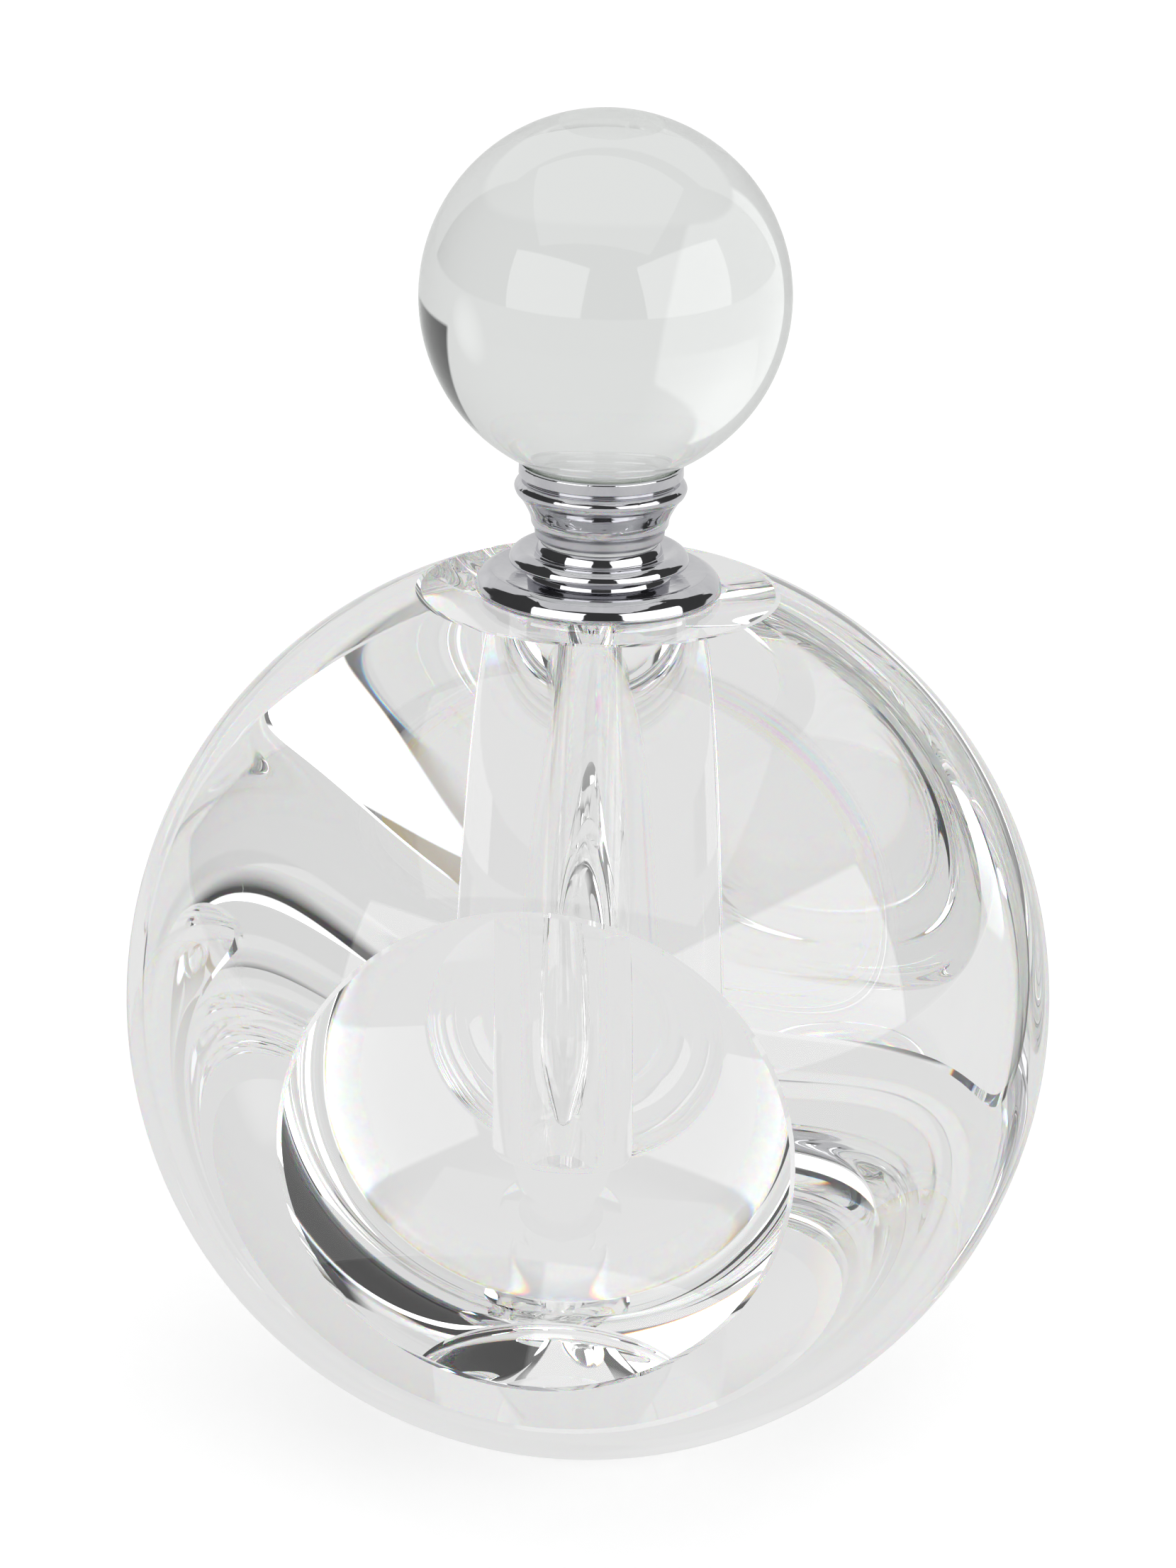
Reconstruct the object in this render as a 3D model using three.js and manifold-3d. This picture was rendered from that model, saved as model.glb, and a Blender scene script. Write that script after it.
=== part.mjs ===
// Crystal perfume bottle: a solid glass globe with a dished cut front and back, a
// drilled bore for the perfume, a chromed collar, and a push-in stopper that
// carries a crystal ball above and a glass dabber below.
// Millimetres, +Z up. The origin is the centre of the flat base. The dished cuts
// face -Y (front) and +Y (back).
import * as THREE from 'three';
import { mergeVertices } from 'three/addons/utils/BufferGeometryUtils.js';
import Module from 'manifold-3d';

// ---- Driving dimensions ----

// Globe, measured from its own centre
const GLOBE_R = 40;
const BASE_DEPTH = 36.8;      // centre down to the flat base
const TOP_HEIGHT = 37;        // centre up to the flat top
const CUT_DEPTH = 34.2;       // centre out to the rim of each dished cut
const DISH_R = 48.8;          // radius of the hollow grinding wheel
const BORE_R = 7.45;
const BORE_FLOOR_DEPTH = 10.5; // centre down to the floor of the bore
const BORE_CORNER_R = 1.2;
const BEVEL = 0.25;           // polished edge of the base and the top flat

// Gap round a pressed or cemented piece, and the spare depth of its socket
const FIT = 0.05;
const SOCKET_SPARE = 0.2;

const CENTRE_Z = BASE_DEPTH;
const TOP_Z = CENTRE_Z + TOP_HEIGHT;
const BORE_FLOOR_Z = CENTRE_Z - BORE_FLOOR_DEPTH;

// Collar, cemented on the top flat
const COLLAR_BORE_R = 4.7;
const SPIGOT_R = 7.1;
const SPIGOT_LENGTH = 3;
const FLANGE_R = 10.42;
const COLLAR_TOP_Z = TOP_Z + 4.35;
const COLLAR_CHAMFER = 0.12;
// Outside of the collar from the glass up: radius, height above the top flat
const LOWER_DOME = [
  [10.12, 0], [10.36, 0.12], [FLANGE_R, 0.46], [10.22, 1.14], [9.82, 1.62], [9.3, 1.92], [8.9, 1.93],
];
const COLLAR_NECK = [[6.1, 1.42], [5.98, 1.54], [5.84, 1.92], [5.5, 2.46]];
const UPPER_DOME = [
  [7.2, 2.54], [7.54, 2.62], [7.6, 2.82], [7.48, 3.24], [7.15, 3.58], [6.7, 3.8], [6.3, 3.76],
];
const COLLAR_BEAD = [[5.36, 3.5], [5.3, 3.76], [5.12, 4.18], [4.98, COLLAR_TOP_Z - TOP_Z]];
const BORE_CEMENT_INNER_R = SPIGOT_R + FIT;
const BORE_CEMENT_OUTER_R = BORE_R - FIT;
const BORE_CEMENT_HEIGHT = 2.4;

// Stopper
const BALL_R = 15.45;
const BALL_Z = CENTRE_Z + 62.3;
const CUP_RIM_R = 6.9;
const CUP_RIM_Z = CENTRE_Z + 48.2;
const CUP_FLOOR_Z = BALL_Z - BALL_R - 0.45;
const WASHER_THICKNESS = 0.3;
const FERRULE_FOOT_Z = COLLAR_TOP_Z + WASHER_THICKNESS;
// Outside of the ferrule from the washer up: radius, height above its foot
const FERRULE_FOOT = [[5.05, 0], [5.3, 0.1], [5.44, 0.3], [5.5, 0.95], [5.78, 1.3]];
const FERRULE_WAIST = [[5.86, 2.0], [6.1, 2.5], [6.42, 3.1], [6.84, 3.7]];
const FERRULE_BULGE = [[7.08, 3.9], [7.28, 4.35], [7.22, 4.7], [7.0, 5.05]];
const FERRULE_GROOVE = [[6.52, 5.22], [6.6, 5.38], [CUP_RIM_R, 5.5]];
const CUP_LIP = 0.14;         // rounded edge at the rim of the cup
const CEMENT_R = 6.1;
const CEMENT_GAP = 0.15;

// Plug that grips the collar bore, and its seal
const PLUG_R = 3.95;
const PLUG_SHANK_R = 3.1;
const PLUG_TOP_Z = CUP_FLOOR_Z - 1.6;
const PLUG_FOOT_Z = TOP_Z - 4;
const SOCKET_R = 2.3;
const SOCKET_DEPTH = 6;
const SEAL_INNER_R = 4.0;
const SEAL_OUTER_R = 4.62;
const SEAL_HEIGHT = 3.6;
const SEAL_Z = TOP_Z - 2.2;
const SEAL_RIBS = 3;
const SEAL_RIB_DEPTH = 0.2;

// Glass dabber, a long cone that is widest just above its round tip
const DABBER_TOP_R = 2.2;
const DABBER_NECK_R = 2.75;
const DABBER_NECK_Z = CENTRE_Z + 26;
const DABBER_SWELL_R = 4.3;
const DABBER_SWELL_Z = CENTRE_Z + 3.6;
const DABBER_TIP_Z = CENTRE_Z - 8;
const DABBER_TIP_R = 1.7;
const DABBER_TOP_Z = PLUG_FOOT_Z + SOCKET_DEPTH - SOCKET_SPARE;

// Facets
const ROUND_STEPS = 48;
const SMALL_STEPS = 28;
const GLOBE_ARC_STEPS = 24;
const DISH_STEPS = 40;
const BALL_STEPS = 40;
const CURVE_STEPS = 3;

// ---- Materials ----

const material = (color, roughness, metalness, opacity = 1) =>
  new THREE.MeshStandardMaterial({ color, roughness, metalness, opacity, transparent: opacity < 1 });

const CRYSTAL = material(0xf2f5f4, 0.02, 0, 0.35);
const BALL_CRYSTAL = material(0xdfe6e2, 0.02, 0, 0.35);
const CHROME = material(0xc9cacc, 0.08, 1);
const CEMENT = material(0xe6ece4, 0.3, 0, 0.6);
const PLUG_PLASTIC = material(0xf0f0ea, 0.45, 0);
const SEAL_PLASTIC = material(0xe2e4e2, 0.5, 0);

// ---- Helpers ----

// A path in the (radius, height) half-plane, revolved about Z. Walked with the
// solid on its left: up the outside and, on a ring, down the inside.
function revolve(path, steps = ROUND_STEPS, curveSteps = CURVE_STEPS) {
  const geometry = new THREE.LatheGeometry(path.getPoints(curveSteps), steps);
  return geometry.rotateX(Math.PI / 2);
}

function pathFrom(radius, height) {
  return new THREE.Path().moveTo(radius, height);
}

// Straight lines on through the stations of a profile, raised by `base`.
function follow(path, stations, base) {
  for (const [radius, height] of stations) path.lineTo(radius, base + height);
  return path;
}

function named(name, geometry, finish) {
  const mesh = new THREE.Mesh(geometry, finish);
  mesh.name = name;
  return mesh;
}

const wasm = await Module();
wasm.setup();

function toSolid(geometry) {
  const bare = geometry.clone();
  bare.deleteAttribute('normal');
  bare.deleteAttribute('uv');
  const merged = mergeVertices(bare, 1e-5);
  const corners = merged.index.array;
  const triangles = [];
  for (let i = 0; i < corners.length; i += 3) {
    const [a, b, c] = corners.slice(i, i + 3);
    if (a !== b && b !== c && c !== a) triangles.push(a, b, c);
  }
  return new wasm.Manifold(new wasm.Mesh({
    numProp: 3,
    vertProperties: new Float32Array(merged.attributes.position.array),
    triVerts: new Uint32Array(triangles),
  }));
}

function toGeometry(solid) {
  const mesh = solid.getMesh();
  const geometry = new THREE.BufferGeometry();
  geometry.setAttribute('position', new THREE.BufferAttribute(mesh.vertProperties, 3));
  geometry.setIndex(new THREE.BufferAttribute(mesh.triVerts, 1));
  return geometry;
}

// ---- Glass globe ----

// The globe as turned and drilled: flat base, round side, flat top, blind bore.
function globeBlank() {
  const baseAngle = -Math.asin(BASE_DEPTH / GLOBE_R);
  const topAngle = Math.asin(TOP_HEIGHT / GLOBE_R);
  const baseR = GLOBE_R * Math.cos(baseAngle);
  const topR = GLOBE_R * Math.cos(topAngle);
  const bevelAngle = BEVEL / GLOBE_R;
  const path = pathFrom(0, 0).lineTo(baseR - BEVEL, 0);
  for (let i = 0; i <= GLOBE_ARC_STEPS; i += 1) {
    const share = i / GLOBE_ARC_STEPS;
    const angle = THREE.MathUtils.lerp(baseAngle + bevelAngle, topAngle - bevelAngle, share);
    path.lineTo(GLOBE_R * Math.cos(angle), CENTRE_Z + GLOBE_R * Math.sin(angle));
  }
  path.lineTo(topR - BEVEL, TOP_Z)
    .lineTo(BORE_R + BEVEL, TOP_Z)
    .lineTo(BORE_R, TOP_Z - BEVEL)
    .lineTo(BORE_R, BORE_FLOOR_Z + BORE_CORNER_R)
    .absarc(BORE_R - BORE_CORNER_R, BORE_FLOOR_Z + BORE_CORNER_R, BORE_CORNER_R, 0, -Math.PI / 2, true)
    .lineTo(0, BORE_FLOOR_Z);
  return revolve(path);
}

// The round wheel that grinds a dished cut: its curved face bulges into the
// globe and its back lies clear outside. Its axis is Z until it is turned.
function grindingWheel() {
  const rimR = Math.sqrt(GLOBE_R ** 2 - CUT_DEPTH ** 2);
  const wheelCentre = CUT_DEPTH + Math.sqrt(DISH_R ** 2 - rimR ** 2);
  const wheelR = rimR + 2;
  const reach = Math.asin(wheelR / DISH_R);
  const path = pathFrom(0, wheelCentre - DISH_R)
    .absarc(0, wheelCentre, DISH_R, -Math.PI / 2, -Math.PI / 2 + reach, false)
    .lineTo(wheelR, GLOBE_R + 2)
    .lineTo(0, GLOBE_R + 2);
  return revolve(path, DISH_STEPS, 6);
}

function crystalBody() {
  let solid = toSolid(globeBlank());
  for (const turn of [Math.PI / 2, -Math.PI / 2]) {
    const wheel = grindingWheel().rotateX(turn).translate(0, 0, CENTRE_Z);
    solid = solid.subtract(toSolid(wheel));
  }
  return named('crystal_body', toGeometry(solid), CRYSTAL);
}

// ---- Collar ----

// Two domed rings on a neck under a small bead, and a spigot that drops into
// the mouth of the bore.
function collar() {
  const foot = TOP_Z - SPIGOT_LENGTH;
  const outside = [LOWER_DOME, COLLAR_NECK, UPPER_DOME, COLLAR_BEAD].flat();
  const path = pathFrom(COLLAR_BORE_R, foot).lineTo(SPIGOT_R, foot).lineTo(SPIGOT_R, TOP_Z);
  follow(path, outside, TOP_Z)
    .lineTo(COLLAR_BORE_R + COLLAR_CHAMFER, COLLAR_TOP_Z)
    .lineTo(COLLAR_BORE_R, COLLAR_TOP_Z - COLLAR_CHAMFER)
    .lineTo(COLLAR_BORE_R, foot);
  return named('collar', revolve(path), CHROME);
}

// Ring of clear cement between the spigot and the wall of the bore.
function collarCement() {
  const path = pathFrom(BORE_CEMENT_INNER_R, TOP_Z - BORE_CEMENT_HEIGHT - BEVEL)
    .lineTo(BORE_CEMENT_OUTER_R, TOP_Z - BORE_CEMENT_HEIGHT - BEVEL)
    .lineTo(BORE_CEMENT_OUTER_R, TOP_Z - BEVEL)
    .lineTo(BORE_CEMENT_INNER_R, TOP_Z - BEVEL)
    .lineTo(BORE_CEMENT_INNER_R, TOP_Z - BORE_CEMENT_HEIGHT - BEVEL);
  return named('collar_cement', revolve(path), CEMENT);
}

// ---- Stopper ----

// Cast ferrule: a foot ring, a waist, a bulge, a groove, and a cup for the ball.
function ferrule() {
  const socketR = PLUG_SHANK_R + FIT;
  const socketTop = PLUG_TOP_Z + SOCKET_SPARE;
  const outside = [FERRULE_FOOT, FERRULE_WAIST, FERRULE_BULGE, FERRULE_GROOVE].flat();
  const path = pathFrom(0, socketTop).lineTo(socketR, socketTop).lineTo(socketR, FERRULE_FOOT_Z);
  follow(path, outside, FERRULE_FOOT_Z)
    .lineTo(CUP_RIM_R, CUP_RIM_Z - CUP_LIP)
    .lineTo(CUP_RIM_R - CUP_LIP, CUP_RIM_Z)
    .lineTo(CUP_RIM_R - 3 * CUP_LIP, CUP_RIM_Z - CUP_LIP)
    .lineTo(CEMENT_R + CEMENT_GAP, CUP_FLOOR_Z)
    .lineTo(0, CUP_FLOOR_Z);
  return named('ferrule', revolve(path), CHROME);
}

function crystalBall() {
  const path = pathFrom(0, -BALL_R).absarc(0, 0, BALL_R, -Math.PI / 2, Math.PI / 2, false);
  const mesh = named('crystal_ball', revolve(path, BALL_STEPS, BALL_STEPS / 2), BALL_CRYSTAL);
  mesh.position.z = BALL_Z;
  return mesh;
}

// Plano-hollow pad of clear cement between the ball and the cup floor.
function ballCement() {
  const hollowR = BALL_R + CEMENT_GAP;
  const edgeAngle = -Math.acos(CEMENT_R / hollowR);
  const path = pathFrom(0, CUP_FLOOR_Z)
    .lineTo(CEMENT_R, CUP_FLOOR_Z)
    .absarc(0, BALL_Z, hollowR, edgeAngle, -Math.PI / 2, true);
  return named('ball_cement', revolve(path, SMALL_STEPS, 4), CEMENT);
}

// Plastic plug: a shank up into the ferrule, a sleeve down through the collar,
// and a socket for the dabber in its foot.
function dabberPlug() {
  const shoulder = FERRULE_FOOT_Z - 0.1;
  const socketTop = PLUG_FOOT_Z + SOCKET_DEPTH;
  const path = pathFrom(0, socketTop)
    .lineTo(SOCKET_R, socketTop)
    .lineTo(SOCKET_R, PLUG_FOOT_Z)
    .lineTo(PLUG_R - 0.3, PLUG_FOOT_Z)
    .lineTo(PLUG_R, PLUG_FOOT_Z + 0.3)
    .lineTo(PLUG_R, shoulder)
    .lineTo(PLUG_SHANK_R, shoulder)
    .lineTo(PLUG_SHANK_R, PLUG_TOP_Z)
    .lineTo(0, PLUG_TOP_Z);
  return named('dabber_plug', revolve(path, SMALL_STEPS), PLUG_PLASTIC);
}

// Ribbed sealing sleeve that the plug turns in and that rubs the collar bore.
function plugSeal() {
  const rib = SEAL_HEIGHT / SEAL_RIBS;
  const grooveR = SEAL_OUTER_R - SEAL_RIB_DEPTH;
  const path = pathFrom(SEAL_INNER_R, SEAL_Z).lineTo(grooveR, SEAL_Z);
  for (let i = 0; i < SEAL_RIBS; i += 1) {
    path.lineTo(SEAL_OUTER_R, SEAL_Z + (i + 0.35) * rib)
      .lineTo(SEAL_OUTER_R, SEAL_Z + (i + 0.65) * rib)
      .lineTo(grooveR, SEAL_Z + (i + 1) * rib);
  }
  path.lineTo(SEAL_INNER_R, SEAL_Z + SEAL_HEIGHT).lineTo(SEAL_INNER_R, SEAL_Z);
  return named('plug_seal', revolve(path, SMALL_STEPS), SEAL_PLASTIC);
}

// Flat washer that the ferrule comes down on.
function restWasher() {
  const innerR = PLUG_R + 0.1;
  const outerR = COLLAR_BORE_R + 0.3;
  const path = pathFrom(innerR, COLLAR_TOP_Z)
    .lineTo(outerR, COLLAR_TOP_Z)
    .lineTo(outerR, FERRULE_FOOT_Z)
    .lineTo(innerR, FERRULE_FOOT_Z)
    .lineTo(innerR, COLLAR_TOP_Z);
  return named('rest_washer', revolve(path, SMALL_STEPS), SEAL_PLASTIC);
}

// Glass wand: a round tip, a swelling, and a long cone up to the plug.
function dabber() {
  const tipShoulder = DABBER_TIP_Z + DABBER_TIP_R;
  const swell = DABBER_SWELL_R;
  const path = pathFrom(0, DABBER_TIP_Z)
    .absarc(0, tipShoulder, DABBER_TIP_R, -Math.PI / 2, -Math.PI / 9, false)
    .bezierCurveTo(3.3, DABBER_TIP_Z + 5.2, swell, DABBER_SWELL_Z - 3.2, swell, DABBER_SWELL_Z)
    .bezierCurveTo(swell, DABBER_SWELL_Z + 4, 3.1, DABBER_NECK_Z - 6, DABBER_NECK_R, DABBER_NECK_Z)
    .lineTo(DABBER_TOP_R, PLUG_FOOT_Z - 1)
    .lineTo(DABBER_TOP_R, DABBER_TOP_Z)
    .lineTo(0, DABBER_TOP_Z);
  return named('dabber', revolve(path, SMALL_STEPS, 6), CRYSTAL);
}

// ---- Assembly ----

const bottle = new THREE.Group();
bottle.add(crystalBody(), collar(), collarCement());

const stopper = new THREE.Group();
stopper.add(ferrule(), crystalBall(), ballCement(), dabberPlug(), dabber());
stopper.add(plugSeal(), restWasher());

const perfumeBottle = new THREE.Group();
perfumeBottle.add(bottle, stopper);

export default perfumeBottle;
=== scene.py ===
import math

import bmesh
import bpy
import numpy as np
from mathutils import Euler, Matrix, Vector


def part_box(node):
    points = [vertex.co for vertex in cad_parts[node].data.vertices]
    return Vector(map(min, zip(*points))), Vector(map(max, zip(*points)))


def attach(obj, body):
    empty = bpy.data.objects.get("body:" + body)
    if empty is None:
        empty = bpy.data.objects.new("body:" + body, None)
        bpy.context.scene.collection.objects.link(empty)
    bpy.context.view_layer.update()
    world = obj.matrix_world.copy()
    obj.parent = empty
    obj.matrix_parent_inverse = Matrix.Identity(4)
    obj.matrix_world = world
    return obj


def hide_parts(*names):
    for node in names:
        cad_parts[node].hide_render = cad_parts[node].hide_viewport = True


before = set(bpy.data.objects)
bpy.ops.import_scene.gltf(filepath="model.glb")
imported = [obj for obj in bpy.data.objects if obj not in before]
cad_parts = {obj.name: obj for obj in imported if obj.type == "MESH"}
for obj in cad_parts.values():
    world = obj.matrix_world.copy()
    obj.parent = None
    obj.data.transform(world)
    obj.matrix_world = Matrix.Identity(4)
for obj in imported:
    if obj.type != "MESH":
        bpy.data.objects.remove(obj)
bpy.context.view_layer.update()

MM = 0.001


# ---- Places taken from the frame ----

def low_high(node):
    low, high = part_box(node)
    return [round(v / MM, 2) for v in low], [round(v / MM, 2) for v in high]


def half_width(node):
    low, high = low_high(node)
    return (high[0] - low[0]) / 2


body_low, body_high = low_high("crystal_body")
GLOBE_R = round(half_width("crystal_body"), 1)
CUT_DEPTH = round((body_high[1] - body_low[1]) / 2, 1)
TOP_Z = body_high[2]
COLLAR_TOP_Z = low_high("collar")[1][2]
FLANGE_R = half_width("collar")
FERRULE_FOOT_Z = low_high("ferrule")[0][2]
CUP_RIM_Z = low_high("ferrule")[1][2]
ball_low, ball_high = low_high("crystal_ball")
BALL_R = round((ball_high[2] - ball_low[2]) / 2, 2)
BALL_Z = (ball_high[2] + ball_low[2]) / 2
CUP_FLOOR_Z = low_high("ball_cement")[0][2]
PLUG_FOOT_Z, PLUG_TOP_Z = (corner[2] for corner in low_high("dabber_plug"))
SEAL_FOOT_Z, SEAL_TOP_Z = (corner[2] for corner in low_high("plug_seal"))
TIP_Z, DABBER_TOP_Z = (corner[2] for corner in low_high("dabber"))


# ---- Dimensions inside the boxes ----

# Globe: the height of its centre, the two dished cuts, the drilled bore.
CENTRE_Z = 36.8
DISH_R = 48.8
DISH_BEVEL = 0.2
GLOBE_BEVEL = 0.22
BORE_R = 7.45
BORE_FLOOR_Z = CENTRE_Z - 10.5
BORE_CORNER_R = 1.2

# Collar and ferrule.
SPIGOT_R = 7.1
SPIGOT_FOOT_Z = TOP_Z - 3.0
COLLAR_BORE_R = 4.7
SOCKET_R = 3.15

# Plug, seal and washer.
PLUG_BORE_R = 2.3
PLUG_BORE_DEPTH = 6
PLUG_PIN_R = 3.1
PLUG_R = 3.95
SEAL_RIBS = 3
SEAL_BORE_R = 4.0
SEAL_GROOVE_R = 4.42
SEAL_RIB_R = 4.62
WASHER_BORE_R = 4.06
WASHER_R = 4.98

# Dabber: a round tip, then (radius, height) at its swell and at its neck.
TIP_R = 1.7
SWELL = (4.3, CENTRE_Z + 3.6)
NECK = (2.75, CENTRE_Z + 26)
DABBER_TOP_R = 2.2

# Air left between faces that rest on each other.
SEAT_GAP = 0.01

CRYSTAL_IOR = 1.587
BALL_IOR = 1.52


# ---- Turned meshes ----

def line(start, end):
    return ("line", start, end)


def arc(centre, radius, start, end, steps):
    return ("arc", centre, radius, start, end, steps)


def outline_points(segments):
    points = []
    for segment in segments:
        if segment[0] == "line":
            found = segment[1:]
        else:
            _, (cr, ch), radius, start, end, steps = segment
            angles = np.linspace(start, end, steps + 1)
            found = [(cr + radius * math.cos(a), ch + radius * math.sin(a)) for a in angles]
        for point in found:
            if not points or math.dist(point, points[-1]) > 1e-6:
                points.append(point)
    return points


def soft_outline(control, steps=10):
    """A path through (radius, height, reach) corners, each rounded over its reach on both sides."""
    points = [control[0][:2]]
    for before, corner, after in zip(control, control[1:], control[2:]):
        middle = Vector(corner[:2])
        reach = corner[2]
        start = middle + (Vector(before[:2]) - middle).normalized() * reach
        end = middle + (Vector(after[:2]) - middle).normalized() * reach
        for share in np.linspace(0, 1, steps + 1):
            bend = start.lerp(middle, share).lerp(middle.lerp(end, share), share)
            points.append(tuple(bend))
    points.append(control[-1][:2])
    return points


def bend(start, start_pull, end_pull, end, steps):
    """Points of a cubic curve after its start."""
    points = []
    for t in np.linspace(0, 1, steps + 1)[1:]:
        u = 1 - t
        weights = (u**3, 3 * u * u * t, 3 * u * t * t, t**3)
        pulls = (start, start_pull, end_pull, end)
        points.append(tuple(sum(w * p[i] for w, p in zip(weights, pulls)) for i in (0, 1)))
    return points


AXES = {
    "up": lambda r, h, c, s: (r * c, r * s, h),
    "front": lambda r, h, c, s: (r * c, -h, r * s),
    "back": lambda r, h, c, s: (r * c, h, r * s),
}


def turned(name, points, steps, axis="up", wobble=None):
    """A mesh turned about an axis from (radius, height) points in millimetres."""
    place = AXES[axis]
    bm = bmesh.new()
    rings = []
    for r, h in points:
        if r < 1e-6:
            rings.append([bm.verts.new(Vector(place(0, h, 1, 0)) * MM)])
            continue
        ring = []
        for k in range(steps):
            angle = 2 * math.pi * k / steps
            dr, dh = wobble(angle, r, h) if wobble else (0, 0)
            spot = place(r + dr, h + dh, math.cos(angle), math.sin(angle))
            ring.append(bm.verts.new(Vector(spot) * MM))
        rings.append(ring)
    for first, second in zip(rings, rings[1:]):
        for k in range(steps):
            m = (k + 1) % steps
            if len(first) == 1 and len(second) == 1:
                continue
            if len(first) == 1:
                corners = (first[0], second[k], second[m])
            elif len(second) == 1:
                corners = (first[k], second[0], first[m])
            else:
                corners = (first[k], second[k], second[m], first[m])
            bm.faces.new(corners)
    bmesh.ops.remove_doubles(bm, verts=bm.verts, dist=1e-8)
    bmesh.ops.recalc_face_normals(bm, faces=bm.faces)
    mesh = bpy.data.meshes.new(name)
    bm.to_mesh(mesh)
    bm.free()
    piece = bpy.data.objects.new(name, mesh)
    bpy.context.collection.objects.link(piece)
    return piece


def shade(piece, crease_degrees=32):
    piece.data.shade_smooth()
    piece.data.set_sharp_from_angle(angle=math.radians(crease_degrees))


def ground_away(piece, wheel):
    """Cuts the wheel's shape out of the piece."""
    cut = piece.modifiers.new("cut", "BOOLEAN")
    cut.object = wheel
    cut.operation = "DIFFERENCE"
    cut.solver = "EXACT"
    graph = bpy.context.evaluated_depsgraph_get()
    mesh = bpy.data.meshes.new_from_object(piece.evaluated_get(graph))
    piece.modifiers.clear()
    piece.data = mesh
    bpy.data.objects.remove(wheel)


def surface_field(points, axis, segment):
    """Distance from each point to a turned surface, and that surface's normal there."""
    if axis == "up":
        radial, height, along = points * (1, 1, 0), points[:, 2], (0, 0, 1)
    else:
        sign = -1 if axis == "front" else 1
        points = points - (0, 0, CENTRE_Z)
        radial, height, along = points * (1, 0, 1), sign * points[:, 1], (0, sign, 0)
    r = np.linalg.norm(radial, axis=1)
    outward = radial / np.maximum(r, 1e-12)[:, None]
    along = np.array(along, float)
    if segment[0] == "line":
        start, end = np.array(segment[1], float), np.array(segment[2], float)
        way = end - start
        length = np.linalg.norm(way)
        share = np.clip(((r - start[0]) * way[0] + (height - start[1]) * way[1]) / length**2, 0, 1)
        gap = np.hypot(r - start[0] - share * way[0], height - start[1] - share * way[1])
        normal = outward * (way[1] / length) - along * (way[0] / length)
        return gap, normal
    _, centre, radius, first, last, _ = segment
    dr, dh = r - centre[0], height - centre[1]
    reach = np.hypot(dr, dh)
    middle, half = (first + last) / 2, abs(last - first) / 2
    turn = (np.arctan2(dh, dr) - middle + math.pi) % (2 * math.pi) - math.pi
    gap = np.abs(reach - radius) + np.maximum(np.abs(turn) - half, 0) * radius
    normal = outward * (dr / reach)[:, None] + along * (dh / reach)[:, None]
    return gap, normal


def true_normals(piece, surfaces):
    """Gives every face corner the exact normal of the turned surface it lies on.
    Glass bends light by its normals, so facets would show as ripples."""
    mesh = piece.data
    corners = np.empty(len(mesh.loops), np.int64)
    mesh.loops.foreach_get("vertex_index", corners)
    spots = np.empty(len(mesh.vertices) * 3)
    mesh.vertices.foreach_get("co", spots)
    spots = spots.reshape(-1, 3) / MM
    centres, facing = np.empty(len(mesh.polygons) * 3), np.empty(len(mesh.polygons) * 3)
    mesh.polygons.foreach_get("center", centres)
    mesh.polygons.foreach_get("normal", facing)
    centres, facing = centres.reshape(-1, 3) / MM, facing.reshape(-1, 3)
    sizes = np.empty(len(mesh.polygons), np.int64)
    mesh.polygons.foreach_get("loop_total", sizes)
    nearest = np.array([surface_field(centres, *s)[0] for s in surfaces]).argmin(0)
    face_of = np.repeat(np.arange(len(sizes)), sizes)
    normals = np.zeros((len(corners), 3))
    for index, surface in enumerate(surfaces):
        mine = nearest[face_of] == index
        if mine.any():
            normal = surface_field(spots[corners[mine]], *surface)[1]
            side = np.sign((normal * facing[face_of[mine]]).sum(1))
            normals[mine] = normal * side[:, None]
    mesh.polygons.foreach_set("use_smooth", np.ones(len(sizes), bool))
    mesh.update()
    mesh.normals_split_custom_set(normals.tolist())


def finish_piece(piece, node, body, material):
    piece.data.materials.clear()
    piece.data.materials.append(material)
    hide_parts(node)
    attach(piece, body)


# ---- Materials ----

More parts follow.
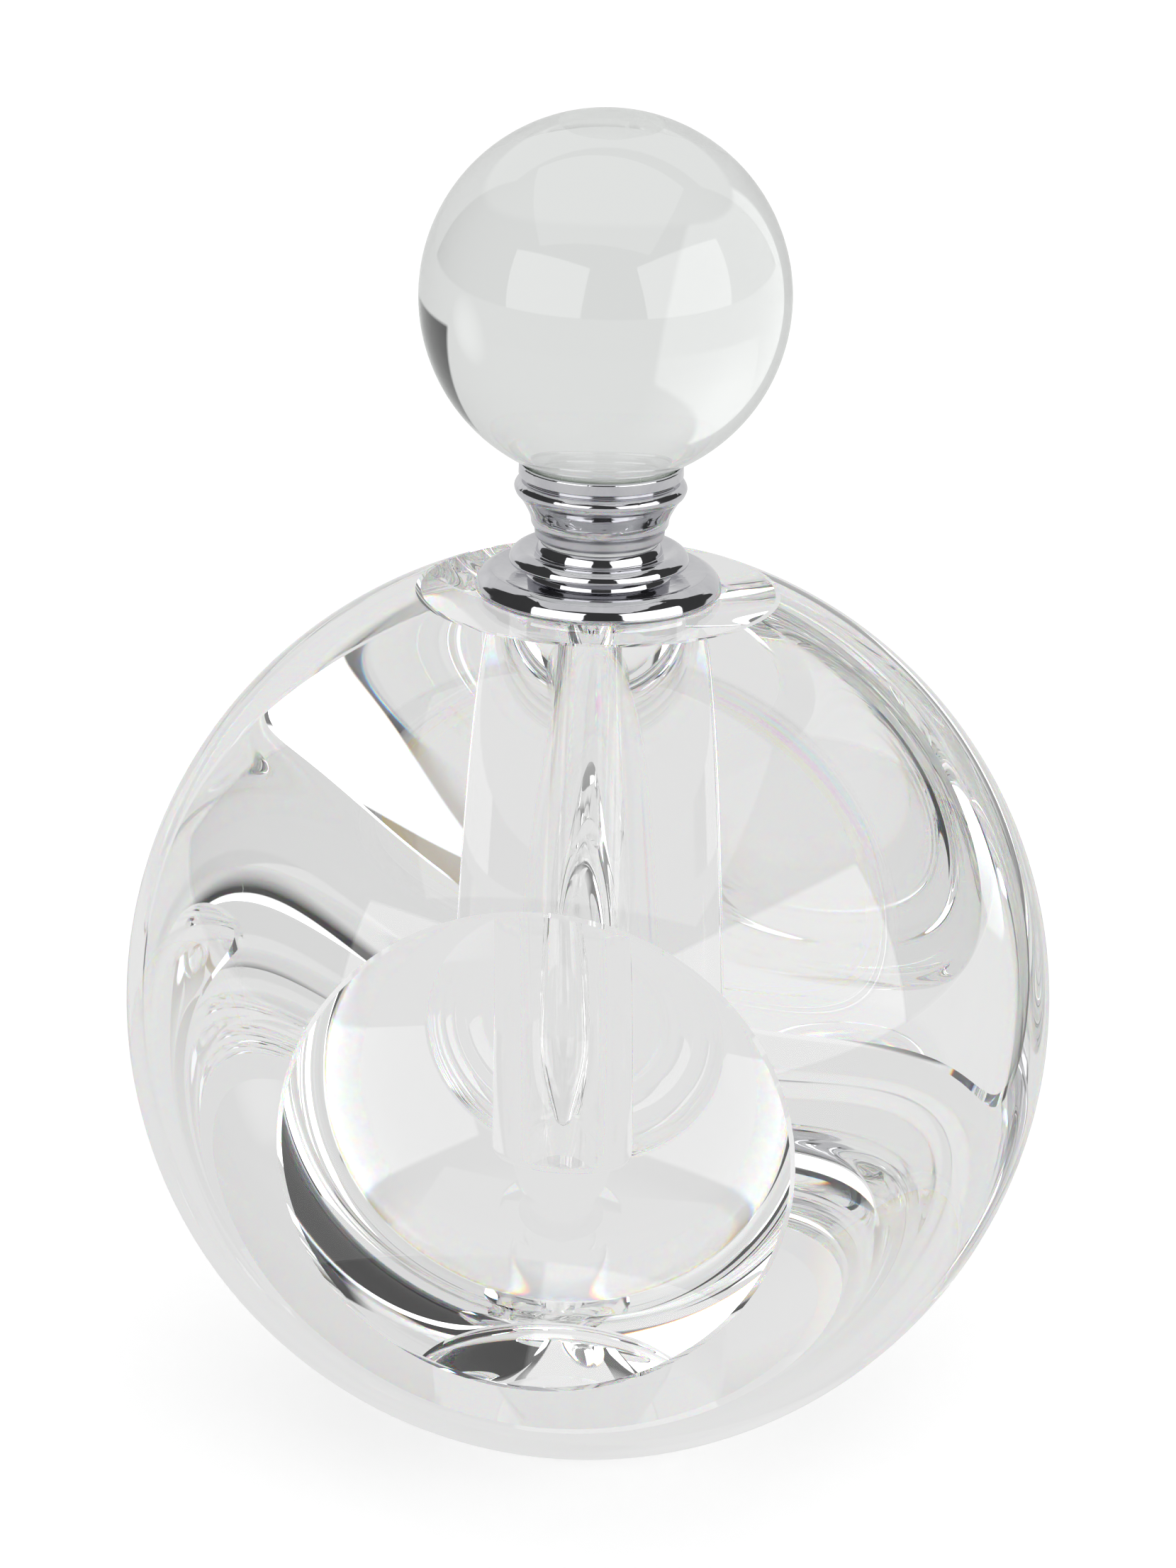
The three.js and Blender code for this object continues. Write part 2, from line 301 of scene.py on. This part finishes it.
class Nodes:
    """Short ways to build a node tree."""

    def __init__(self, tree):
        self.tree = tree
        tree.nodes.clear()

    def add(self, kind, **values):
        node = self.tree.nodes.new(kind)
        for key, value in values.items():
            setattr(node, key, value)
        return node

    def link(self, output, socket):
        self.tree.links.new(output, socket)

    def math(self, operation, *inputs, clamp=False):
        node = self.add("ShaderNodeMath", operation=operation, use_clamp=clamp)
        for socket, value in zip(node.inputs, inputs):
            if isinstance(value, (int, float)):
                socket.default_value = value
            else:
                self.link(value, socket)
        return node.outputs[0]

    def noise(self, scale, detail=2.0, roughness=0.5, vector=None, distortion=0.0):
        node = self.add("ShaderNodeTexNoise")
        node.inputs["Scale"].default_value = scale
        node.inputs["Detail"].default_value = detail
        node.inputs["Roughness"].default_value = roughness
        node.inputs["Distortion"].default_value = distortion
        self.link(vector or self.place(), node.inputs["Vector"])
        return node.outputs["Fac"]

    def finish(self, surface, volume=None):
        out = self.add("ShaderNodeOutputMaterial")
        self.link(surface, out.inputs["Surface"])
        if volume:
            self.link(volume, out.inputs["Volume"])

    def place(self, stretch=(1, 1, 1), turn=(0, 0, 0)):
        where = self.add("ShaderNodeTexCoord").outputs["Object"]
        shape = self.add("ShaderNodeMapping")
        shape.inputs["Scale"].default_value = stretch
        shape.inputs["Rotation"].default_value = turn
        self.link(where, shape.inputs["Vector"])
        return shape.outputs["Vector"]

    def remap(self, value, low, high, to_low=0.0, to_high=1.0):
        node = self.add("ShaderNodeMapRange", clamp=True)
        ends = {"From Min": low, "From Max": high, "To Min": to_low, "To Max": to_high}
        for key, number in ends.items():
            node.inputs[key].default_value = number
        self.link(value, node.inputs["Value"])
        return node.outputs["Result"]

    def blend(self, share, first, second):
        node = self.add("ShaderNodeMix", data_type="RGBA")
        self.link(share, node.inputs["Factor"])
        node.inputs["A"].default_value = (*first, 1)
        node.inputs["B"].default_value = (*second, 1)
        return next(s for s in node.outputs if s.type == "RGBA")

    def choose(self, share, first, second):
        node = self.add("ShaderNodeMixShader")
        for socket, output in zip(node.inputs, (share, first, second)):
            self.link(output, socket)
        return node.outputs[0]

    def bump(self, height, distance, normal=None):
        node = self.add("ShaderNodeBump")
        node.inputs["Distance"].default_value = distance
        self.link(height, node.inputs["Height"])
        if normal:
            self.link(normal, node.inputs["Normal"])
        return node.outputs["Normal"]


def new_material(name):
    material = bpy.data.materials.new(name)
    material.use_nodes = True
    return material, Nodes(material.node_tree)


def scratches(nodes, turn, scale, threshold):
    """Hairline marks: thin level lines of a noise drawn out along one direction."""
    drawn = nodes.place(stretch=(1, 1, 0.12), turn=turn)
    value = nodes.noise(scale, detail=1.0, vector=drawn, distortion=0.6)
    ridge = nodes.math("ABSOLUTE", nodes.math("SUBTRACT", value, 0.5))
    hair = nodes.remap(ridge, 0.0, threshold, 1.0, 0.0)
    sparse = nodes.remap(nodes.noise(scale * 0.4, detail=0.0), 0.58, 0.66)
    return nodes.math("MULTIPLY", hair, sparse)


# Colours are split only where the surface mirrors this much of the light: below it the
# split is too small to see, above it whole colours would drop out.
SPLIT_FROM, SPLIT_TO = 0.09, 0.44


def crystal(name, ior, tint, body_colour, density, dispersion=0.0, wear=0.5):
    """Polished lead crystal. Where light leaves the glass its three colours bend by
    different amounts; the body takes a little light on the way through."""
    material, nodes = new_material(name)
    marks = nodes.math("MULTIPLY", scratches(nodes, (0.4, 0.9, 0.3), 240, 0.004), wear)
    rough = nodes.remap(marks, 0.0, 1.0, 0.0, 0.12)

    def glass(colour, index):
        shader = nodes.add("ShaderNodeBsdfGlass", distribution="GGX")
        shader.inputs["Color"].default_value = (*colour, 1)
        shader.inputs["IOR"].default_value = index
        nodes.link(rough, shader.inputs["Roughness"])
        return shader.outputs[0]

    surface = glass(tint, ior)
    if dispersion:
        total = None
        for channel, shift in enumerate((-1, 0, 1)):
            colour = [tint[c] if c == channel else 0 for c in range(3)]
            part = glass(colour, ior + shift * dispersion)
            if total is None:
                total = part
                continue
            both = nodes.add("ShaderNodeAddShader")
            nodes.link(total, both.inputs[0])
            nodes.link(part, both.inputs[1])
            total = both.outputs[0]
        depth = nodes.add("ShaderNodeLightPath").outputs["Transmission Depth"]
        mirror = nodes.add("ShaderNodeFresnel")
        mirror.inputs["IOR"].default_value = ior - dispersion
        middle, half = (SPLIT_TO + SPLIT_FROM) / 2, (SPLIT_TO - SPLIT_FROM) / 2
        leaving = nodes.math("MULTIPLY", nodes.math("COMPARE", depth, 1.0, 0.5),
                             nodes.math("COMPARE", mirror.outputs[0], middle, half))
        surface = nodes.choose(leaving, surface, total)
    inside = nodes.add("ShaderNodeVolumeAbsorption")
    inside.inputs["Color"].default_value = (*body_colour, 1)
    inside.inputs["Density"].default_value = density
    nodes.finish(surface, inside.outputs[0])
    return material


def principled(nodes, **values):
    shader = nodes.add("ShaderNodeBsdfPrincipled")
    for key, value in values.items():
        socket = shader.inputs[key.replace("_", " ")]
        if isinstance(value, (int, float)):
            socket.default_value = value
        elif isinstance(value, tuple):
            socket.default_value = (*value, 1)
        else:
            nodes.link(value, socket)
    return shader


def plated(name, pit_depth, wave_depth, roughness, satin=None):
    """Bright chrome plate over a casting or turning, with pits, slow waves and smears.
    `satin` is a pair of heights: below the first the metal is satin, above the second bright."""
    material, nodes = new_material(name)
    smear = nodes.noise(260, detail=4.0, roughness=0.6, distortion=0.8)
    tone = nodes.blend(nodes.remap(smear, 0.35, 0.7), (0.66, 0.66, 0.68), (0.56, 0.56, 0.59))
    pits = nodes.remap(nodes.noise(900, detail=1.0), 0.60, 0.80)
    waves = nodes.noise(520, detail=2.0)
    normal = nodes.bump(waves, wave_depth)
    normal = nodes.bump(pits, pit_depth, normal)
    rough = nodes.remap(smear, 0.3, 0.75, *roughness)
    if satin:
        height = nodes.add("ShaderNodeSeparateXYZ")
        nodes.link(nodes.place(), height.inputs[0])
        dull = nodes.remap(height.outputs["Z"], *(z * MM for z in satin), 0.4, 0.0)
        rough = nodes.math("MAXIMUM", rough, dull)
    metal = principled(nodes, Base_Color=tone, Metallic=1.0, Roughness=rough, Normal=normal)
    nodes.finish(metal.outputs[0])
    return material


def moulded(name, light, dark, rough, grain_depth, clear=0.0):
    """Soft moulded plastic or set cement, with a fine grain and cloudy patches."""
    material, nodes = new_material(name)
    cloud = nodes.noise(500, detail=3.0)
    tone = nodes.blend(nodes.remap(cloud, 0.35, 0.65), light, dark)
    normal = nodes.bump(nodes.noise(2600, detail=2.0), grain_depth)
    plastic = principled(
        nodes, Base_Color=tone, Roughness=nodes.remap(cloud, 0.3, 0.7, rough, rough + 0.12),
        IOR=1.45, Transmission_Weight=clear, Normal=normal,
    )
    nodes.finish(plastic.outputs[0])
    return material


CRYSTAL = crystal(
    "clear_crystal", CRYSTAL_IOR, tint=(0.996, 0.996, 0.995),
    body_colour=(0.88, 0.89, 0.89), density=1.5, dispersion=0.0085)
BALL = crystal(
    "ball_crystal", BALL_IOR, tint=(0.99, 0.995, 0.99),
    body_colour=(0.80, 0.88, 0.85), density=3.2, wear=0.3)
WAND = crystal(
    "wand_crystal", BALL_IOR, tint=(0.99, 0.99, 0.99),
    body_colour=(0.9, 0.95, 0.93), density=3.0, wear=0.2)
CHROME = plated(
    "chrome_plate", pit_depth=0.000005, wave_depth=0.000008, roughness=(0.03, 0.07))
CAST_CHROME = plated(
    "cast_chrome_plate", pit_depth=0.000026, wave_depth=0.000022, roughness=(0.03, 0.11),
    satin=(79.4, 80.2))
CEMENT = moulded(
    "set_cement", light=(0.86, 0.90, 0.84), dark=(0.72, 0.80, 0.72), rough=0.18,
    grain_depth=0.00002, clear=0.55)
PLUG = moulded(
    "plug_plastic", light=(0.90, 0.90, 0.86), dark=(0.84, 0.84, 0.80), rough=0.35,
    grain_depth=0.000008)
SEAL = moulded(
    "seal_plastic", light=(0.84, 0.85, 0.84), dark=(0.74, 0.76, 0.75), rough=0.45,
    grain_depth=0.00001)


# ---- Glass globe ----

def wheel_outline():
    """A grinding wheel whose edge leaves a fine polished bevel round the dish."""
    rim_r = math.sqrt(GLOBE_R**2 - CUT_DEPTH**2)
    centre = CUT_DEPTH + math.sqrt(DISH_R**2 - rim_r**2)
    inner_r, outer_r = rim_r - DISH_BEVEL, rim_r + DISH_BEVEL
    inner_h = centre - math.sqrt(DISH_R**2 - inner_r**2)
    outer_h = math.sqrt(GLOBE_R**2 - outer_r**2)
    reach = math.asin(inner_r / DISH_R)
    spread = 3.0
    far_h = outer_h + (outer_h - inner_h) * spread / (2 * DISH_BEVEL)
    dish = arc((0, centre), DISH_R, -math.pi / 2, -math.pi / 2 + reach, 64)
    edge = line((inner_r, inner_h), (outer_r + spread, far_h))
    back = GLOBE_R * 1.3
    return [dish, edge, line((outer_r + spread, far_h), (outer_r + spread, back)),
            line((outer_r + spread, back), (0, back))]


def crystal_body():
    base_angle = -math.asin(CENTRE_Z / GLOBE_R)
    top_angle = math.asin((TOP_Z - CENTRE_Z) / GLOBE_R)
    base_r, top_r = GLOBE_R * math.cos(base_angle), GLOBE_R * math.cos(top_angle)
    bevel = GLOBE_BEVEL
    low, high = base_angle + bevel / GLOBE_R, top_angle - bevel / GLOBE_R
    side = arc((0, CENTRE_Z), GLOBE_R, low, high, 140)
    side_points = outline_points([side])
    corner_h = BORE_FLOOR_Z + BORE_CORNER_R
    corner = arc((BORE_R - BORE_CORNER_R, corner_h), BORE_CORNER_R, 0, -math.pi / 2, 10)
    segments = [
        line((0, 0), (base_r - bevel, 0)),
        line((base_r - bevel, 0), side_points[0]),
        side,
        line(side_points[-1], (top_r - bevel, TOP_Z)),
        line((top_r - bevel, TOP_Z), (BORE_R + bevel, TOP_Z)),
        line((BORE_R + bevel, TOP_Z), (BORE_R, TOP_Z - bevel)),
        line((BORE_R, TOP_Z - bevel), (BORE_R, corner_h)),
        corner,
        line((BORE_R - BORE_CORNER_R, BORE_FLOOR_Z), (0, BORE_FLOOR_Z)),
    ]
    piece = turned("crystal_globe", outline_points(segments), 256)
    surfaces = [("up", segment) for segment in segments]
    for axis in ("front", "back"):
        outline = wheel_outline()
        wheel = turned("wheel", outline_points(outline), 192, axis)
        wheel.location.z = CENTRE_Z * MM
        bpy.context.view_layer.update()
        ground_away(piece, wheel)
        surfaces += [(axis, outline[0]), (axis, outline[1])]
    return piece, surfaces


globe, globe_surfaces = crystal_body()
true_normals(globe, globe_surfaces)
finish_piece(globe, "crystal_body", "bottle", CRYSTAL)


# ---- Collar ----

collar_outline = soft_outline([
    (COLLAR_BORE_R, SPIGOT_FOOT_Z, 0),
    (SPIGOT_R, SPIGOT_FOOT_Z, 0.15),
    (SPIGOT_R, TOP_Z + SEAT_GAP, 0.05),
    (FLANGE_R - 0.3, TOP_Z + SEAT_GAP, 0.05),
    (FLANGE_R - 0.06, TOP_Z + 0.12, 0.06),
    (FLANGE_R, TOP_Z + 0.46, 0.15),
    (FLANGE_R - 0.2, TOP_Z + 1.14, 0.25),
    (FLANGE_R - 0.6, TOP_Z + 1.62, 0.25),
    (9.3, TOP_Z + 1.92, 0.25),
    (8.9, TOP_Z + 1.93, 0.25),
    (6.1, TOP_Z + 1.42, 0.1),
    (5.98, TOP_Z + 1.54, 0.06),
    (5.84, TOP_Z + 1.92, 0.15),
    (5.5, TOP_Z + 2.46, 0.1),
    (7.2, TOP_Z + 2.54, 0.1),
    (7.54, TOP_Z + 2.62, 0.06),
    (7.6, TOP_Z + 2.82, 0.08),
    (7.48, TOP_Z + 3.24, 0.2),
    (7.15, TOP_Z + 3.58, 0.2),
    (6.7, TOP_Z + 3.8, 0.2),
    (6.3, TOP_Z + 3.76, 0.15),
    (5.36, TOP_Z + 3.5, 0.06),
    (5.3, TOP_Z + 3.76, 0.15),
    (5.12, TOP_Z + 4.18, 0.15),
    (4.98, COLLAR_TOP_Z - SEAT_GAP, 0.06),
    (COLLAR_BORE_R + 0.12, COLLAR_TOP_Z - SEAT_GAP, 0.06),
    (COLLAR_BORE_R, COLLAR_TOP_Z - 0.12, 0.05),
    (COLLAR_BORE_R, SPIGOT_FOOT_Z, 0),
])
collar = turned("chrome_collar", collar_outline, 144)
shade(collar)
finish_piece(collar, "collar", "bottle", CHROME)


def uneven(depth, turns, phase):
    """A hand-filled edge: the height wanders as it goes round."""
    def wobble(angle, r, h):
        wave = sum(math.sin(angle * n + phase * n * n) / n for n in turns)
        return 0.0, depth * wave
    return wobble


cement_foot, cement_top = (corner[2] for corner in low_high("collar_cement"))
cement_outline = soft_outline([
    (SPIGOT_R + 0.06, cement_foot + 0.1, 0),
    (7.26, cement_foot + 0.02, 0.04),
    (BORE_R - 0.06, cement_foot + 0.12, 0.04),
    (BORE_R - 0.06, cement_top - 0.05, 0.04),
    (SPIGOT_R + 0.06, cement_top - 0.05, 0.04),
    (SPIGOT_R + 0.06, cement_foot + 0.1, 0),
], 4)
collar_cement = turned("collar_bond", cement_outline, 96, wobble=uneven(0.02, (2, 3, 5), 0.7))
shade(collar_cement)
finish_piece(collar_cement, "collar_cement", "bottle", CEMENT)


# ---- Ferrule ----

foot, rim = FERRULE_FOOT_Z, CUP_RIM_Z
ferrule_outline = soft_outline([
    (0, PLUG_TOP_Z + 0.2, 0),
    (SOCKET_R, PLUG_TOP_Z + 0.2, 0.1),
    (SOCKET_R, foot, 0.1),
    (5.05, foot, 0.06),
    (5.3, foot + 0.1, 0.08),
    (5.44, foot + 0.3, 0.12),
    (5.5, foot + 0.95, 0.15),
    (5.78, foot + 1.3, 0.2),
    (5.86, foot + 2.0, 0.4),
    (6.42, foot + 3.1, 0.4),
    (6.84, foot + 3.7, 0.1),
    (7.08, foot + 3.9, 0.15),
    (7.32, foot + 4.5, 0.3),
    (7.0, foot + 5.05, 0.25),
    (6.5, foot + 5.22, 0.1),
    (6.6, foot + 5.38, 0.08),
    (6.92, foot + 5.5, 0.1),
    (6.9, rim - 0.16, 0.1),
    (6.74, rim - 0.02, 0.08),
    (6.45, rim - 0.3, 0.15),
    (6.3, CUP_FLOOR_Z, 0.2),
    (0, CUP_FLOOR_Z, 0),
])
ferrule = turned("cast_ferrule", ferrule_outline, 144)
shade(ferrule)
finish_piece(ferrule, "ferrule", "stopper", CAST_CHROME)


# ---- Ball and its cement ----

ball_arc = arc((0, BALL_Z), BALL_R, -math.pi / 2, math.pi / 2, 110)
ball = turned("ball_knob", outline_points([ball_arc]), 160)
true_normals(ball, [("up", ball_arc)])
finish_piece(ball, "crystal_ball", "stopper", BALL)


def on_ball(radius, gap):
    """A point the given gap below the ball, at a radius from the axis."""
    reach = BALL_R + gap
    return (radius, BALL_Z - math.sqrt(reach**2 - radius**2))


fill = [(0, CUP_FLOOR_Z + 0.02), (6.1, CUP_FLOOR_Z + 0.02), (6.32, rim - 0.45),
        (6.5, rim - 0.1), (6.58, rim + 0.1), (6.5, rim + 0.22)]
fill += [on_ball(r, 0.03) for r in np.linspace(6.38, 0, 14)]


def ragged_lip(angle, r, h):
    """Cement squeezed out over the cup's rim, more in some places than in others."""
    if h <= rim - 0.2 or r <= 6.45:
        return 0.0, 0.0
    wave = math.sin(2 * angle + 0.6) + 0.6 * math.sin(5 * angle + 2.0) + 0.35 * math.sin(11 * angle)
    return 0.0, 0.10 * wave


ball_cement = turned("ball_bond", fill, 120, wobble=ragged_lip)
shade(ball_cement, 60)
finish_piece(ball_cement, "ball_cement", "stopper", CEMENT)


# ---- Plug, seal, washer and dabber ----

shoulder = foot - 0.1
plug_outline = soft_outline([
    (0, PLUG_FOOT_Z + PLUG_BORE_DEPTH, 0),
    (PLUG_BORE_R, PLUG_FOOT_Z + PLUG_BORE_DEPTH, 0.1),
    (PLUG_BORE_R, PLUG_FOOT_Z, 0.12),
    (PLUG_R - 0.35, PLUG_FOOT_Z, 0.1),
    (PLUG_R, PLUG_FOOT_Z + 0.35, 0.15),
    (PLUG_R, shoulder, 0.08),
    (PLUG_PIN_R, shoulder, 0.05),
    (PLUG_PIN_R, PLUG_TOP_Z, 0.2),
    (0, PLUG_TOP_Z, 0),
])
plug = turned("plug_insert", plug_outline, 96)
shade(plug)
finish_piece(plug, "dabber_plug", "stopper", PLUG)

pitch = (SEAL_TOP_Z - SEAL_FOOT_Z) / SEAL_RIBS
seal_control = [(SEAL_BORE_R, SEAL_FOOT_Z, 0), (SEAL_GROOVE_R, SEAL_FOOT_Z, 0.06)]
for i in range(SEAL_RIBS):
    start = SEAL_FOOT_Z + i * pitch
    seal_control += [(SEAL_RIB_R, start + share * pitch, 0.14) for share in (0.36, 0.64)]
    if i < SEAL_RIBS - 1:
        seal_control.append((SEAL_GROOVE_R, start + pitch, 0.1))
seal_control += [
    (SEAL_GROOVE_R, SEAL_TOP_Z, 0.06),
    (SEAL_BORE_R, SEAL_TOP_Z, 0.04),
    (SEAL_BORE_R, SEAL_FOOT_Z, 0),
]
seal = turned("ribbed_seal", soft_outline(seal_control, 6), 96)
shade(seal)
finish_piece(seal, "plug_seal", "seal", SEAL)

washer_outline = soft_outline([
    (WASHER_BORE_R, COLLAR_TOP_Z + SEAT_GAP, 0),
    (WASHER_R, COLLAR_TOP_Z + SEAT_GAP, 0.05),
    (WASHER_R, foot - SEAT_GAP, 0.05),
    (WASHER_BORE_R, foot - SEAT_GAP, 0.05),
    (WASHER_BORE_R, COLLAR_TOP_Z + SEAT_GAP, 0),
], 4)
washer = turned("seat_washer", washer_outline, 96)
shade(washer)
finish_piece(washer, "rest_washer", "seal", SEAL)

tip = [(TIP_R * math.cos(a), TIP_Z + TIP_R + TIP_R * math.sin(a))
       for a in np.linspace(-math.pi / 2, -math.pi / 9, 14)]
swell_r, swell_z = SWELL
neck_r, neck_z = NECK
stem_top = DABBER_TOP_Z - 0.02
dabber_outline = tip
dabber_outline += bend(tip[-1], (3.3, TIP_Z + 5.2), (swell_r, swell_z - 3.2), SWELL, 30)
dabber_outline += bend(SWELL, (swell_r, swell_z + 4), (3.1, neck_z - 6), NECK, 36)
dabber_outline += bend(
    NECK, (neck_r - 0.3, neck_z + 5), (DABBER_TOP_R, PLUG_FOOT_Z - 2.5),
    (DABBER_TOP_R, PLUG_FOOT_Z - 1), 10)
dabber_outline += [
    (DABBER_TOP_R, DABBER_TOP_Z - 0.3), (DABBER_TOP_R - 0.25, stem_top), (0, stem_top)]
dabber = turned("glass_dabber", dabber_outline, 128)
shade(dabber)
finish_piece(dabber, "dabber", "stopper", WAND)


# ---- Floor ----

# How bright the table and everything below the horizon look by reflection or through glass.
FLOOR_GLOW = 0.77

bm = bmesh.new()
bmesh.ops.create_grid(bm, x_segments=1, y_segments=1, size=3.0)
floor_mesh = bpy.data.meshes.new("floor")
bm.to_mesh(floor_mesh)
bm.free()
floor = bpy.data.objects.new("floor", floor_mesh)
floor.location.z = -0.02 * MM
bpy.context.collection.objects.link(floor)
floor_material, nodes = new_material("white_table")
paper = principled(nodes, Base_Color=(0.93, 0.93, 0.93), Roughness=0.9, Specular_IOR_Level=0.0)
paper.inputs["Emission Color"].default_value = (1, 1, 1, 1)
paper.inputs["Emission Strength"].default_value = 0.45
glow = nodes.add("ShaderNodeEmission")
glow.inputs["Strength"].default_value = FLOOR_GLOW
seen = nodes.add("ShaderNodeLightPath").outputs["Is Camera Ray"]
nodes.finish(nodes.choose(seen, glow.outputs[0], paper.outputs[0]))
floor_mesh.materials.append(floor_material)


# ---- Camera ----

CAMERA_DISTANCE = 0.39013
CAMERA_AZIMUTH = math.radians(6.697)
CAMERA_RISE = math.radians(22.441)
CAMERA_PITCH, CAMERA_ROLL = math.radians(2.71), math.radians(1.442)
CAMERA_LENS = 102.69
away = Vector((
    math.sin(CAMERA_AZIMUTH) * math.cos(CAMERA_RISE),
    -math.cos(CAMERA_AZIMUTH) * math.cos(CAMERA_RISE),
    math.sin(CAMERA_RISE),
))
right = Vector((0, 0, 1)).cross(away).normalized()
up = away.cross(right)
aimed = Matrix((right, up, away)).transposed()
trim = Euler((CAMERA_PITCH, 0, CAMERA_ROLL), "XYZ").to_matrix()
place = (aimed @ trim).to_4x4()
place.translation = Vector((0, 0, CENTRE_Z * MM)) + away * CAMERA_DISTANCE

camera_data = bpy.data.cameras.new("camera")
camera_data.sensor_width = 36
camera_data.lens = CAMERA_LENS
camera_data.clip_start = 0.01
camera = bpy.data.objects.new("camera", camera_data)
camera.matrix_world = place
bpy.context.collection.objects.link(camera)
bpy.context.scene.camera = camera


# ---- Studio ----

# Rectangles of light: azimuth and rise in degrees, width and height at unit distance,
# strength, and the softness of the edge where it isn't the usual one.
WINDOWS = (
    (-174, 22, 2.26, 1.9, 0.72, 0.06),
    (-140, 14, 0.90, 0.90, 0.10, 0.4),
    (-32, 16, 0.94, 0.62, 2.1),
    (61, 17, 1.16, 0.66, 2.1),
    (-3, 76, 1.50, 1.25, 0.78),
)
DARK_ROOM = 0.055
# Pale wall and ceiling, met only by light that has already gone through glass.
SIDE_WALL = (-112, 20, 1.7, 1.8, 0.78, 0.15)
CEILING = 0.74
CEILING_FROM, CEILING_TO = 0.60, 0.70


def studio():
    """White sweep behind, two window boxes in front, one panel overhead, dark room between."""
    world = bpy.data.worlds.new("studio")
    bpy.context.scene.world = world
    world.use_nodes = True
    nodes = Nodes(world.node_tree)
    way = nodes.add("ShaderNodeTexCoord").outputs["Generated"]
    split = nodes.add("ShaderNodeSeparateXYZ")
    nodes.link(way, split.inputs[0])
    height = split.outputs["Z"]

    def along(direction):
        product = nodes.add("ShaderNodeVectorMath", operation="DOT_PRODUCT")
        nodes.link(way, product.inputs[0])
        product.inputs[1].default_value = direction
        return product.outputs["Value"]

    def window(azimuth, rise, width, tall, strength, soft=0.02):
        """A rectangle of light; azimuth 0 is the front (-Y) and grows towards +X."""
        a, e = math.radians(azimuth), math.radians(rise)
        facing = along((math.sin(a) * math.cos(e), -math.cos(a) * math.cos(e), math.sin(e)))
        across = along((math.cos(a), math.sin(a), 0))
        upward = along((-math.sin(a) * math.sin(e), math.cos(a) * math.sin(e), math.cos(e)))
        share = nodes.math("MULTIPLY", nodes.math("GREATER_THAN", facing, 0.0), strength)
        for part, size in ((across, width), (upward, tall)):
            offset = nodes.math("ABSOLUTE", nodes.math("DIVIDE", part, facing))
            inside = nodes.math("SUBTRACT", size / 2, offset)
            share = nodes.math("MULTIPLY", share, nodes.math("DIVIDE", inside, soft, clamp=True))
        return share

    light = window(*WINDOWS[0])
    for spec in WINDOWS[1:]:
        light = nodes.math("ADD", light, window(*spec))
    light = nodes.math("ADD", light, DARK_ROOM)
    paths = nodes.add("ShaderNodeLightPath")
    ceiling = nodes.remap(height, CEILING_FROM, CEILING_TO, 0.0, CEILING)
    haze = nodes.math("MAXIMUM", ceiling, window(*SIDE_WALL))
    through = nodes.math("GREATER_THAN", paths.outputs["Transmission Depth"], 0.5)
    light = nodes.math("MAXIMUM", light, nodes.math("MULTIPLY", haze, through))
    below = nodes.remap(height, -0.02, 0.0, 1.0, 0.0)
    above = nodes.math("MULTIPLY", light, nodes.math("SUBTRACT", 1.0, below))
    light = nodes.math("ADD", above, nodes.math("MULTIPLY", below, FLOOR_GLOW))
    room, backdrop = (nodes.add("ShaderNodeBackground") for _ in range(2))
    for background in (room, backdrop):
        background.inputs["Color"].default_value = (1, 1, 1, 1)
    nodes.link(light, room.inputs["Strength"])
    seen = nodes.choose(paths.outputs["Is Camera Ray"], room.outputs[0], backdrop.outputs[0])
    out = nodes.add("ShaderNodeOutputWorld")
    nodes.link(seen, out.inputs["Surface"])
    world.cycles.sampling_method = "MANUAL"
    world.cycles.sample_map_resolution = 1024


studio()

scene = bpy.context.scene
scene.view_settings.view_transform = "Standard"
scene.cycles.use_denoising = True
scene.cycles.use_adaptive_sampling = False
scene.cycles.max_bounces = 64
scene.cycles.transmission_bounces = 32
scene.cycles.glossy_bounces = 64
scene.cycles.diffuse_bounces = 4
